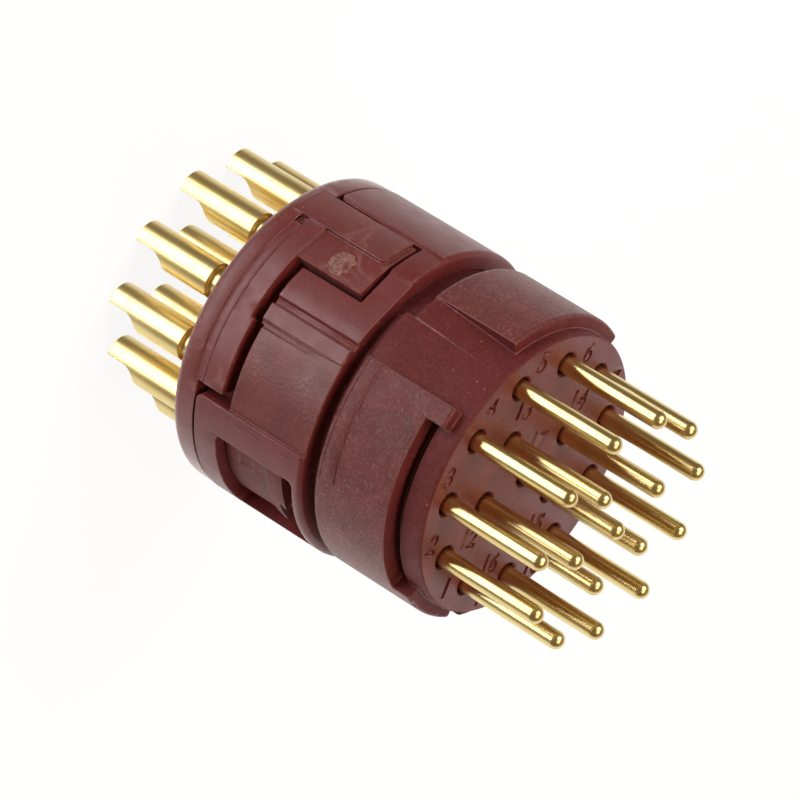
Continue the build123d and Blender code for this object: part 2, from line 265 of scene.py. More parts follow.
def run_tree(piece: bpy.types.Object, tree: bpy.types.NodeTree, values: dict[str, object]) -> None:
    """Runs a geometry tree on a piece and keeps the result as its mesh.

    Args:
        piece: The object that the tree works on.
        tree: The geometry tree.
        values: What each of the tree's named inputs gets.
    """
    modifier = piece.modifiers.new(tree.name, "NODES")
    modifier.node_group = tree
    for item in tree.interface.items_tree:
        if item.in_out == "INPUT" and item.name in values:
            modifier[item.identifier] = values[item.name]
    apply_modifiers(piece)


class Grain(Enum):
    """How a moulded wall got its surface: from the tool it was formed against or by breakage, or a pale
    painted edge highlight.
    """

    SMOOTH = "smooth"
    BLOOMED = "bloomed"
    BLASTED = "blasted"
    SATIN = "satin"
    ERODED = "eroded"
    # Not a surface of its own: a paler maroon painted on rounded edges and flash as a highlight.
    EDGE = "edge"
    TORN = "torn"


@dataclass(frozen=True)
class MouldedThermoplastic:
    """Glass-filled thermoplastic, injection moulded.

    The filler shows as fine light specks in the maroon, and the tool's texture breaks up the sheen. Walls
    formed against a spark-eroded tool are greyer and rougher than those against a smooth one. Filler at
    the skin gives the limbs a pale bloom, and handling leaves pale scuffing and nicks; where the scuffing's
    share is large, its pale patches are also a painted highlight. Grain finer than 0.15 mm would not show,
    so it is drawn about twice as coarse as it is.
    """

    grain: Grain
    dark: str
    light: str
    speck: str
    roughness: float
    grain_size: float
    grain_height: float
    speck_share: float
    speck_floor: float = 0.56
    speck_full: float = 0.74
    tone_size: float = 6.0
    waves_per_mm: float = 0.9
    wave_height: float = 0.012
    gloss_swing: tuple[float, float] = (-0.05, 0.07)
    ior: float = 1.52
    specular: float = 0.5
    bloom: float = 0.2
    bloom_roughness: float = 0.35
    scuff: str = "#966A69"
    scuff_size: float = 2.2
    scuff_share: float = 0.0
    scuff_floor: float = 0.54
    scuff_full: float = 0.72
    scuff_dulling: float = 0.3
    nick: str = "#94665E"
    nick_spacing: float = 0.6
    nick_radius: float = 0.05
    nick_share: float = 0.22

    def material_name(self) -> str:
        """Name of the material for this surface."""
        return f"moulded_thermoplastic_{self.grain.value}"

    def material(self) -> bpy.types.Material:
        """The material, built when it is first asked for."""
        return bpy.data.materials.get(self.material_name()) or self.build()

    def tone(self, tree: bpy.types.NodeTree, place: bpy.types.Node) -> bpy.types.Node:
        """Adds the share of the light maroon, which flows between none and all of it.

        Args:
            tree: The material's tree.
            place: The node that gives the place in millimetres.

        Returns:
            The node that gives the share.
        """
        flow = add_node(tree, "ShaderNodeTexNoise", {}, {"Vector": place, "Scale": 1 / self.tone_size,
                                                         "Detail": 4.0, "Roughness": 0.6, "Distortion": 0.8})
        return add_node(tree, "ShaderNodeMapRange", {}, {"Value": flow.outputs["Fac"], "From Min": NOISE_LOW,
                                                         "From Max": NOISE_HIGH})

    def scuffs(self, tree: bpy.types.NodeTree, place: bpy.types.Node) -> bpy.types.Node:
        """Adds the share of pale scuffing, in smeared patches, which is also a painted highlight where the
        share is large.

        Args:
            tree: The material's tree.
            place: The node that gives the place in millimetres.

        Returns:
            The node that gives the share.
        """
        rubs = add_node(tree, "ShaderNodeTexNoise", {}, {"Vector": place, "Scale": 1 / self.scuff_size,
                                                         "Detail": 6.0, "Roughness": 0.68, "Distortion": 1.2})
        return add_node(tree, "ShaderNodeMapRange", {"clamp": True},
                        {"Value": rubs.outputs["Fac"], "From Min": self.scuff_floor,
                         "From Max": self.scuff_full, "To Max": self.scuff_share})

    def nicks(self, tree: bpy.types.NodeTree, place: bpy.types.Node) -> bpy.types.Node:
        """Adds small round nicks, in some of the cells of an irregular net.

        Args:
            tree: The material's tree.
            place: The node that gives the place in millimetres.

        Returns:
            The node that gives 1 in a nick and 0 elsewhere.
        """
        cells = add_node(tree, "ShaderNodeTexVoronoi", {}, {"Vector": place, "Scale": 1 / self.nick_spacing})
        inside = add_node(tree, "ShaderNodeMath", {"operation": "LESS_THAN"},
                          {0: cells.outputs["Distance"], 1: self.nick_radius / self.nick_spacing})
        chance = add_node(tree, "ShaderNodeSeparateColor", {}, {0: cells.outputs["Color"]})
        chosen = add_node(tree, "ShaderNodeMath", {"operation": "LESS_THAN"},
                          {0: chance.outputs["Red"], 1: self.nick_share})
        return add_node(tree, "ShaderNodeMath", {"operation": "MULTIPLY"}, {0: inside, 1: chosen})

    def build(self) -> bpy.types.Material:
        """Builds the material.

        Returns:
            The material, its patterns sized in millimetres on Object coordinates.
        """
        material, tree = new_material(self.material_name())
        place = millimetres(tree)
        fine = add_node(tree, "ShaderNodeTexNoise", {}, {"Vector": place, "Scale": 1 / self.grain_size,
                                                         "Detail": 3.0, "Roughness": 0.7}).outputs["Fac"]
        waves = add_node(tree, "ShaderNodeTexNoise", {}, {"Vector": place, "Scale": self.waves_per_mm,
                                                          "Detail": 3.0}).outputs["Fac"]
        specks = add_node(tree, "ShaderNodeMapRange", {"clamp": True},
                          {"Value": fine, "From Min": self.speck_floor, "From Max": self.speck_full,
                           "To Max": self.speck_share})
        scuffs = self.scuffs(tree, place)
        colour = linear(self.dark)
        # Over the dark maroon go the light tone, the filler specks, the pale scuffing (partly a painted
        # highlight where its share is large) and the nicks.
        for share, over in ((self.tone(tree, place), self.light), (specks, self.speck),
                            (scuffs, self.scuff), (self.nicks(tree, place), self.nick)):
            colour = add_node(tree, "ShaderNodeMix", {"data_type": "RGBA"},
                              {"Factor": share, 6: colour, 7: linear(over)}).outputs[2]
        gloss = add_node(tree, "ShaderNodeMapRange", {},
                         {"Value": waves, "From Min": NOISE_LOW, "From Max": NOISE_HIGH,
                          "To Min": self.roughness + self.gloss_swing[0],
                          "To Max": self.roughness + self.gloss_swing[1]})
        worn = add_node(tree, "ShaderNodeMath", {"operation": "MULTIPLY_ADD"},
                        {0: scuffs, 1: self.scuff_dulling, 2: gloss})
        height = add_node(tree, "ShaderNodeMath", {"operation": "MULTIPLY_ADD"},
                          {0: waves, 1: self.wave_height / self.grain_height, 2: fine})
        bump = add_node(tree, "ShaderNodeBump", {}, {"Height": height, "Strength": 1.0,
                                                     "Distance": self.grain_height * MM})
        shader = add_node(tree, "ShaderNodeBsdfPrincipled", {},
                          {"Base Color": colour, "Roughness": worn, "Normal": bump, "IOR": self.ior,
                           "Specular IOR Level": self.specular, "Sheen Weight": self.bloom,
                           "Sheen Roughness": self.bloom_roughness})
        add_node(tree, "ShaderNodeOutputMaterial", {}, {"Surface": shader})
        return material


@dataclass(frozen=True)
class GoldPlating:
    """Bright gold plated over nickel on a turned copper alloy.

    The plating levels the lathe's rings, so that they only vary its gloss a little along the axis, and
    its colour wanders slightly between straw and orange. The pins are burnished, and the cups are satin.
    """

    pale: str = "#F5E5AC"
    deep: str = "#E5C576"
    cloud_size: float = 2.0
    cup_roughness: float = 0.36
    pin_roughness: float = 0.28
    cup_front: float = 7.0
    pin_rear: float = 19.0
    roughness_swing: float = 0.008
    ring_spacing: float = 0.3
    ring_reach: float = 4.0

    def build(self) -> bpy.types.Material:
        """Builds the material.

        Returns:
            The material, with rings across the contact's axis on Object coordinates.
        """
        material, tree = new_material("gold_plating_turned")
        place = millimetres(tree)
        stretched = add_node(tree, "ShaderNodeMapping", {},
                             {"Vector": place, "Scale": (1 / self.ring_reach, 1 / self.ring_reach,
                                                         1 / self.ring_spacing)})
        rings = add_node(tree, "ShaderNodeTexNoise", {}, {"Vector": stretched, "Scale": 1.0, "Detail": 2.0})
        cloud = add_node(tree, "ShaderNodeTexNoise", {}, {"Vector": place, "Scale": 1 / self.cloud_size,
                                                          "Detail": 3.0})
        colour = add_node(tree, "ShaderNodeMix", {"data_type": "RGBA"},
                          {"Factor": cloud.outputs["Fac"], 6: linear(self.pale), 7: linear(self.deep)})
        height = add_node(tree, "ShaderNodeSeparateXYZ", {}, {0: place}).outputs["Z"]
        polish = add_node(tree, "ShaderNodeMapRange", {},
                          {"Value": height, "From Min": self.cup_front, "From Max": self.pin_rear,
                           "To Min": self.cup_roughness, "To Max": self.pin_roughness})
        swing = add_node(tree, "ShaderNodeMapRange", {},
                         {"Value": rings.outputs["Fac"], "To Min": -self.roughness_swing,
                          "To Max": self.roughness_swing})
        gloss = add_node(tree, "ShaderNodeMath", {"operation": "ADD"}, {0: polish, 1: swing})
        shader = add_node(tree, "ShaderNodeBsdfPrincipled", {},
                          {"Base Color": colour.outputs[2], "Metallic": 1.0, "Roughness": gloss})
        add_node(tree, "ShaderNodeOutputMaterial", {}, {"Surface": shader})
        return material


# The cap and the sleeve are smooth, but for the cap's bloomed skin and the sleeve's satin panels. The barrel
# and the head are blasted, with a satin mating face and eroded lands. Rounded edges, apart from the mating
# face's, are drawn paler as a painted highlight, and the gate's scar is torn. The cap's heavy pale scuffing
# is partly handling wear and partly a painted highlight.
INSULATOR_FINISHES = (
    MouldedThermoplastic(
        Grain.SMOOTH, dark="#652222", light="#742A29", speck="#885050", roughness=0.38,
        grain_size=0.16, grain_height=0.011, speck_share=0.3, bloom=0.1, scuff_share=0.12),
    # The cap's skin: its large share of pale scuffing is partly handling wear and partly a painted highlight.
    MouldedThermoplastic(
        Grain.BLOOMED, dark="#672728", light="#763131", speck="#8F5957", roughness=0.41,
        grain_size=0.16, grain_height=0.011, speck_share=0.35, wave_height=0.02, bloom=0.6,
        scuff_share=0.55),
    MouldedThermoplastic(
        Grain.BLASTED, dark="#591B1C", light="#682425", speck="#7C4140", roughness=0.62,
        grain_size=0.18, grain_height=0.028, speck_share=0.5, speck_floor=0.46, tone_size=1.6, bloom=0.0,
        specular=0.3),
    MouldedThermoplastic(
        Grain.SATIN, dark="#602220", light="#732F2B", speck="#905E59", roughness=0.39,
        grain_size=0.17, grain_height=0.022, speck_share=0.45, tone_size=3.0, scuff_share=0.2),
    MouldedThermoplastic(
        Grain.ERODED, dark="#5A1C1C", light="#702828", speck="#946A6A", roughness=0.55,
        grain_size=0.18, grain_height=0.042, speck_share=0.5, speck_floor=0.5, tone_size=1.3),
    # Rounded edges and flash: a paler maroon, painted on as a highlight.
    MouldedThermoplastic(
        Grain.EDGE, dark="#622626", light="#824946", speck="#A67B76", roughness=0.42,
        grain_size=0.16, grain_height=0.01, speck_share=0.5, tone_size=1.1),
    MouldedThermoplastic(
        Grain.TORN, dark="#5E2C29", light="#9C7063", speck="#CBAB9A", roughness=0.55,
        grain_size=0.15, grain_height=0.03, speck_share=0.8, tone_size=0.3, bloom=0.0),
)
GRAINS = [finish.grain for finish in INSULATOR_FINISHES]


def dress_moulding(mesh: bpy.types.Mesh) -> None:
    """Gives a mesh the insulators' materials, in the order of INSULATOR_FINISHES.

    Args:
        mesh: The mesh of a moulding.
    """
    mesh.materials.clear()
    for finish in INSULATOR_FINISHES:
        mesh.materials.append(finish.material())


@dataclass
class Corner:
    """One corner of a turned outline: its radius from the axis, its height, and its rounding."""

    radius: float
    height: float
    rounding: float = 0.0

    def point(self) -> Vector:
        """The corner's place in the outline."""
        return Vector((self.radius, self.height))


def rounded_outline(corners: list[Corner], steps: int) -> list[tuple[float, float]]:
    """Rounds the corners of an open outline.

    Args:
        corners: The outline's corners in order.
        steps: Points on each rounding, less one.

    Returns:
        The outline's points as (radius, height) in millimetres.
    """
    points = [tuple(corners[0].point())]
    for before, corner, after in zip(corners, corners[1:], corners[2:]):
        here = corner.point()
        if corner.rounding <= 0:
            points.append(tuple(here))
            continue
        back = (before.point() - here).normalized()
        ahead = (after.point() - here).normalized()
        half = back.angle(ahead) / 2
        cut = corner.rounding / math.tan(half)
        centre = here + (back + ahead).normalized() * corner.rounding / math.sin(half)
        start, end = here + back * cut - centre, here + ahead * cut - centre
        sweep = start.angle_signed(end)
        for step in range(steps + 1):
            spoke = start.copy()
            spoke.rotate(Matrix.Rotation(-sweep * step / steps, 2))
            points.append(tuple(centre + spoke))
    return points + [tuple(corners[-1].point())]


def turned(outline: list[tuple[float, float]], segments: int) -> bmesh.types.BMesh:
    """Turns an outline about the Z axis into a closed mesh.

    Args:
        outline: Points as (radius, height) in millimetres; the first and last lie on the axis.
        segments: Faces round the axis.

    Returns:
        The mesh in metres, its faces outwards.
    """
    shell = bmesh.new()
    rings = []
    for radius, height in outline:
        count = segments if radius > 0 else 1
        rings.append([shell.verts.new(polar(radius, 360 * i / segments, height)) for i in range(count)])
    for low, high in zip(rings, rings[1:]):
        for i in range(segments):
            j = (i + 1) % segments
            corners = [low[i % len(low)], low[j % len(low)], high[j % len(high)], high[i % len(high)]]
            shell.faces.new(list(dict.fromkeys(corners)))
    bmesh.ops.recalc_face_normals(shell, faces=shell.faces)
    return shell


@dataclass
class Contacts:
    """The seventeen turned contacts, from the open solder cups to the round-nosed pins."""

    cup_length: float = 5.05
    groove_length: float = 0.5
    shank_length: float = 0.75
    cap_length: float = 1.85
    flange_length: float = 1.3
    neck_height: float = 19.52
    tip_height: float = 29.47
    cup_radius: float = 1.025
    bore_radius: float = 0.75
    bore_depth: float = 3.7
    groove_radius: float = 0.725
    shank_radius: float = 1.0
    flange_radius: float = 1.25
    neck_radius: float = 0.9
    pin_radius: float = 0.5
    edge: float = 0.06
    lip: float = 0.03
    edge_steps: int = 3
    scoop_level: float = 0.28
    scoop_flat: float = 1.05
    scoop_radius: float = 1.0
    scoop_rear: float = -1.0
    scoop_half_width: float = 1.5
    scoop_steps: int = 12
    drill_angle: float = 118.0
    segments: int = 56
    nose_steps: int = 14
    outer_count: int = 11
    outer_radius: float = 6.4
    inner_count: int = 5
    inner_radius: float = 3.23
    inner_phase: float = 1.7

    def outline(self) -> list[tuple[float, float]]:
        """Outline of one contact, from the bottom of the cup's bore out, up and back to the pin's tip.

        Returns:
            The outline's points as (radius, height) in millimetres.
        """
        drill_point = self.bore_radius / math.tan(math.radians(self.drill_angle / 2))
        groove_front = self.cup_length + self.groove_length
        flange_rear = groove_front + self.shank_length + self.cap_length
        flange_front = flange_rear + self.flange_length
        nose_centre = self.tip_height - self.pin_radius
        corners = [
            Corner(0, self.bore_depth + drill_point),
            Corner(self.bore_radius, self.bore_depth, self.edge),
            Corner(self.bore_radius, 0, self.lip),
            Corner(self.cup_radius, 0, self.edge),
            Corner(self.cup_radius, self.cup_length, self.edge),
            Corner(self.groove_radius, self.cup_length, self.lip),
            Corner(self.groove_radius, groove_front, self.lip),
            Corner(self.shank_radius, groove_front, self.edge),
            Corner(self.shank_radius, flange_rear, self.lip),
            Corner(self.flange_radius, flange_rear, self.lip),
            Corner(self.flange_radius, flange_front, self.lip),
            Corner(self.neck_radius, flange_front, self.lip),
            Corner(self.neck_radius, self.neck_height, self.edge),
            Corner(self.pin_radius, self.neck_height, self.lip),
            Corner(self.pin_radius, nose_centre),
        ]
        nose = [math.radians(90 * step / self.nose_steps) for step in range(1, self.nose_steps)]
        return (rounded_outline(corners, self.edge_steps)
                + [(self.pin_radius * math.cos(a), nose_centre + self.pin_radius * math.sin(a)) for a in nose]
                + [(0, self.tip_height)])

    def scoop(self) -> bpy.types.Object:
        """Makes the cutter that opens the side of the solder cup.

        Returns:
            A closed solid, flat over the cup's end and then rounded.
        """
        far = self.scoop_level + self.scoop_radius
        run_out = [math.radians(90 * step / self.scoop_steps) for step in range(self.scoop_steps + 1)]
        outline = [(self.scoop_level, self.scoop_rear), (far, self.scoop_rear)]
        outline += [(far - self.scoop_radius * math.sin(a), self.scoop_flat + self.scoop_radius * math.cos(a))
                    for a in run_out]
        shell = bmesh.new()
        near, away = ([shell.verts.new(Vector((x, y, z)) * MM) for x, z in outline]
                      for y in (-self.scoop_half_width, self.scoop_half_width))
        shell.faces.new(near)
        shell.faces.new(list(reversed(away)))
        for i in range(len(near)):
            j = (i + 1) % len(near)
            shell.faces.new([near[j], near[i], away[i], away[j]])
        bmesh.ops.recalc_face_normals(shell, faces=shell.faces)
        return object_from("scoop", shell)

    def one_contact(self) -> bpy.types.Object:
        """Makes one contact on the connector axis, with its solder cup scooped open.

        Returns:
            The contact, not yet on its ring.
        """
        piece = object_from("contact", turned(self.outline(), self.segments))
        carve(piece, self.scoop())
        return piece

    def inner_angle(self, index: int) -> float:
        """Angle of an inner contact, half a pitch past a contact of the outer ring."""
        step = math.floor(index * self.outer_count / self.inner_count + self.inner_phase) + 0.5
        return -step * (360 / self.outer_count)

    def tree(self) -> bpy.types.NodeTree:
        """Makes the tree that sets copies of a contact on an outer ring, an inner ring and the axis.

        Returns:
            The geometry tree.
        """
        tree, given = geometry_tree("contact_rings", {
            "Outer Count": "Int", "Inner Count": "Int", "Outer Radius": "Float", "Inner Radius": "Float",
            "Inner Phase": "Float", "Plating": "Material"})
        index = add_node(tree, "GeometryNodeInputIndex")
        pitch = add_node(tree, "ShaderNodeMath", {"operation": "DIVIDE"},
                         {0: math.tau, 1: given["Outer Count"]})
        ratio = add_node(tree, "ShaderNodeMath", {"operation": "DIVIDE"},
                         {0: given["Outer Count"], 1: given["Inner Count"]})
        along = add_node(tree, "ShaderNodeMath", {"operation": "MULTIPLY_ADD"},
                         {0: index, 1: ratio, 2: given["Inner Phase"]})
        whole = add_node(tree, "ShaderNodeMath", {"operation": "FLOOR"}, {0: along})
        halves = add_node(tree, "ShaderNodeMath", {"operation": "ADD"}, {0: whole, 1: 0.5})
        rings = []
        for step, count, radius in ((index, given["Outer Count"], given["Outer Radius"]),
                                    (halves, given["Inner Count"], given["Inner Radius"])):
            turn = add_node(tree, "ShaderNodeMath", {"operation": "MULTIPLY"}, {0: step, 1: pitch})
            east = add_node(tree, "ShaderNodeMath", {"operation": "COSINE"}, {0: turn})
            south = add_node(tree, "ShaderNodeMath", {"operation": "SINE"}, {0: turn})
            north = add_node(tree, "ShaderNodeMath", {"operation": "MULTIPLY"}, {0: south, 1: -1.0})
            spoke = add_node(tree, "ShaderNodeCombineXYZ", {}, {"X": east, "Y": north})
            place = add_node(tree, "ShaderNodeVectorMath", {"operation": "SCALE"},
                             {0: spoke, "Scale": radius})
            rings.append(add_node(tree, "GeometryNodePoints", {}, {"Count": count, "Position": place}))
        rings.append(add_node(tree, "GeometryNodePoints", {}, {"Count": 1}))
        joined = add_node(tree, "GeometryNodeJoinGeometry")
        for ring in reversed(rings):
            tree.links.new(ring.outputs[0], joined.inputs[0])
        copies = add_node(tree, "GeometryNodeInstanceOnPoints", {},
                          {"Points": joined, "Instance": given["Geometry"]})
        end_tree(tree, copies, given["Plating"])
        return tree

    def build(self) -> bpy.types.Object:
        """Builds all contacts as one mesh that stands for the seventeen CAD nodes.

        Returns:
            The piece, riding on the body.
        """
        piece = self.one_contact()
        run_tree(piece, self.tree(), {
            "Outer Count": self.outer_count, "Inner Count": self.inner_count,
            "Outer Radius": self.outer_radius * MM, "Inner Radius": self.inner_radius * MM,
            "Inner Phase": self.inner_phase, "Plating": GoldPlating().build()})
        piece.name = "plated_contacts"
        piece.data.name = piece.name
        shade(piece)
        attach(piece, BODY)
        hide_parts(*[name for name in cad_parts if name.startswith("contact_")])
        return piece


@dataclass
class Moulding:
    """One moulded insulator: a copy of its CAD node with rounded edges and moulded surfaces."""

    node: str
    edge_radius: float = 0.05
    edge_angle: float = 28.0
    edge_segments: int = 2
    weld_distance: float = 0.0005
    flat_angle: float = 0.5
    shortest_edge: float = 0.02
    stray_limit: float = 0.04

    def surface(self, centre: Vector, normal: Vector) -> Grain:
        """Tells which surface a face has, from its middle and direction; the plain moulding has one."""
        return Grain.SMOOTH

    def pale_edge(self, centre: Vector) -> bool:
        """Tells whether a rounded edge gets the pale painted highlight at a place; on the plain moulding all
        do.
        """
        return True

    def rounded_copy(self) -> bpy.types.Object:
        """Copies the CAD node, merges its loose triangles and rounds its edges.

        Returns:
            The copy, its rounded edges already in the pale edge material that paints a highlight on them.
        """
        shell = bmesh.new()
        shell.from_mesh(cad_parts[self.node].data)
        bmesh.ops.remove_doubles(shell, verts=shell.verts, dist=self.weld_distance * MM)
        bmesh.ops.dissolve_limit(shell, angle_limit=math.radians(self.flat_angle), verts=shell.verts,
                                 edges=shell.edges)
        bmesh.ops.dissolve_degenerate(shell, dist=self.shortest_edge * MM, edges=shell.edges)
        walls = BVHTree.FromBMesh(shell)
        piece = object_from(f"{self.node}_rounded", shell)
        bevel = piece.modifiers.new("rounding", "BEVEL")
        bevel.width = self.edge_radius * MM
        bevel.segments = self.edge_segments
        bevel.limit_method = "ANGLE"
        bevel.angle_limit = math.radians(self.edge_angle)
        bevel.use_clamp_overlap = False
        # The roundings' faces take the pale edge material, a painted highlight.
        bevel.material = GRAINS.index(Grain.EDGE)
        dress_moulding(piece.data)
        apply_modifiers(piece)
        # Where two roundings meet at a thin step, a corner can stray, so it goes back to the nearest wall.
        for vertex in piece.data.vertices:
            nearest, _, _, away = walls.find_nearest(vertex.co)
            if away > self.stray_limit * MM:
                vertex.co = nearest
        return piece

    def detail(self, piece: bpy.types.Object) -> None:
        """Adds what this moulding has beyond its walls; the plain one has nothing."""

    def build(self) -> bpy.types.Object:
        """Builds the moulding as a piece that stands for its CAD node.

        Returns:
            The piece, riding on the body.
        """
        piece = self.rounded_copy()
        # Rounded edges keep the pale painted highlight where the moulding allows it; all other faces take
        # their surface's material.
        edge = GRAINS.index(Grain.EDGE)
        for face in piece.data.polygons:
            if face.material_index != edge or not self.pale_edge(face.center / MM):
                face.material_index = GRAINS.index(self.surface(face.center / MM, face.normal))
        self.detail(piece)
        shade(piece)
        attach(piece, BODY)
        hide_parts(self.node)
        return piece


@dataclass
class FrontInsulator(Moulding):
    """The barrel and the keyed head, with the contact numbers engraved in its face."""

    node: str = "front_insulator"
    land_radius: float = 8.7
    head_rear: float = 15.7
    face_height: float = 22.92
    face_slack: float = 0.01
    face_upward: float = 0.9
    # Edges within this depth below the mating face get no painted edge highlight.
    sheltered: float = 0.2
    upright: float = 193.0
    digit_height: float = 1.22
    digit_steps: int = 3
    digit_weld: float = 0.0001
    stroke_offset: float = 0.04
    engraving_depth: float = 0.14
    outer_radius: float = 7.15
    outer_lag: float = 14.0
    inner_offset: float = 1.95

    def surface(self, centre: Vector, normal: Vector) -> Grain:
        """Tells which surface a face has: eroded on the lands' outer walls, satin on the mating face.

        Args:
            centre: The face's middle in millimetres.
            normal: Its direction.

        Returns:
            The surface.
        """
        if normal.z > self.face_upward and centre.z > self.face_height - self.face_slack:
            return Grain.SATIN
        out = math.hypot(centre.x, centre.y)
        return Grain.ERODED if out > self.land_radius and centre.z > self.head_rear else Grain.BLASTED

    def pale_edge(self, centre: Vector) -> bool:
        """Edges within a small depth of the mating face get no painted highlight and keep their face's
        colour.
        """
        return centre.z < self.face_height - self.sheltered

    def number_places(self) -> list[Vector]:
        """Places the contacts' numbers: the outer ones near the rim, the others beside their pins.

        Returns:
            The middle of each number on the face, in metres, from contact 1 on.
        """
        contacts = Contacts()
        pitch = 360 / contacts.outer_count
        places = [polar(self.outer_radius, -step * pitch - self.outer_lag, self.face_height)
                  for step in range(contacts.outer_count)]
        inner = [polar(contacts.inner_radius, contacts.inner_angle(index), self.face_height)
                 for index in range(contacts.inner_count)]
        for pin in inner + [polar(0, 0, self.face_height)]:
            side = self.upright if pin.x <= 0 else self.upright + 180
            places.append(pin + polar(self.inner_offset, side, 0))
        return places

    def number_cutter(self, text: str, place: Vector) -> bpy.types.Mesh:
        """Makes the solid strokes of one number, set upright on the face.

        Args:
            text: The number.
            place: Its middle on the face, in metres.

        Returns:
            A closed mesh that reaches as far below the face as above it.
        """
        curve = bpy.data.curves.new("number", "FONT")
        curve.body = text
        curve.resolution_u = self.digit_steps
        curve.extrude = 1.0
        curve.offset = self.stroke_offset
        letters = linked("number", curve)
        mesh = baked(letters)
        bpy.data.objects.remove(letters)
        low = [min(vertex.co[axis] for vertex in mesh.vertices) for axis in (0, 1)]
        high = [max(vertex.co[axis] for vertex in mesh.vertices) for axis in (0, 1)]
        size = self.digit_height * MM / (high[1] - low[1])
        up = direction(self.upright, 0)
        right = Vector((up.y, -up.x, 0))
        middle = Vector(((low[0] + high[0]) / 2, (low[1] + high[1]) / 2))
        for vertex in mesh.vertices:
            flat = (vertex.co.xy - middle) * size
            depth = Vector((0, 0, vertex.co.z * self.engraving_depth * MM))
            vertex.co = place + right * flat.x + up * flat.y + depth
        return mesh

    def detail(self, piece: bpy.types.Object) -> None:
        """Engraves the contact numbers in the face.

        Args:
            piece: The rounded front insulator.
        """
        cutters = bmesh.new()
        for number, place in enumerate(self.number_places(), start=1):
            cutters.from_mesh(self.number_cutter(str(number), place))
        bmesh.ops.remove_doubles(cutters, verts=cutters.verts, dist=self.digit_weld * MM)
        bmesh.ops.recalc_face_normals(cutters, faces=cutters.faces)
        carve(piece, object_from("number_cutters", cutters), tangled=True)


@dataclass
class MiddleSleeve(Moulding):
    """The thin sleeve over the barrel, with its windows and panels."""

    node: str = "middle_sleeve"
    panel_start: float = 264.6
    panel_end: float = 299.0
    outward: float = 0.7

    def surface(self, centre: Vector, normal: Vector) -> Grain:
        """Tells which surface a face has: satin on the low panel beside each lap, smooth elsewhere.

        Args:
            centre: The face's middle in millimetres.
            normal: Its direction.

        Returns:
            The surface.
        """
        outwards = math.hypot(normal.x, normal.y) > self.outward
        angle = angle_of(centre)
        panel = any(within(angle, self.panel_start + turn, self.panel_end + turn) for turn in (0, 180))
        return Grain.SATIN if outwards and panel else Grain.SMOOTH


@dataclass
class RearCap(Moulding):
    """The drilled cap behind, with the latch sectors and tongues."""

    node: str = "rear_cap"
    skin_radius: float = 8.0
    outward: float = 0.3
    axis_radius: float = 1e-6

    def surface(self, centre: Vector, normal: Vector) -> Grain:
        """Tells which surface a face has: bloomed on the outer walls, where filler lies at the skin.

        Args:
            centre: The face's middle in millimetres.
            normal: Its direction.

        Returns:
            The surface.
        """
        out = math.hypot(centre.x, centre.y)
        facing = (centre.x * normal.x + centre.y * normal.y) / max(out, self.axis_radius)
        return Grain.BLOOMED if out > self.skin_radius and facing > self.outward else Grain.SMOOTH


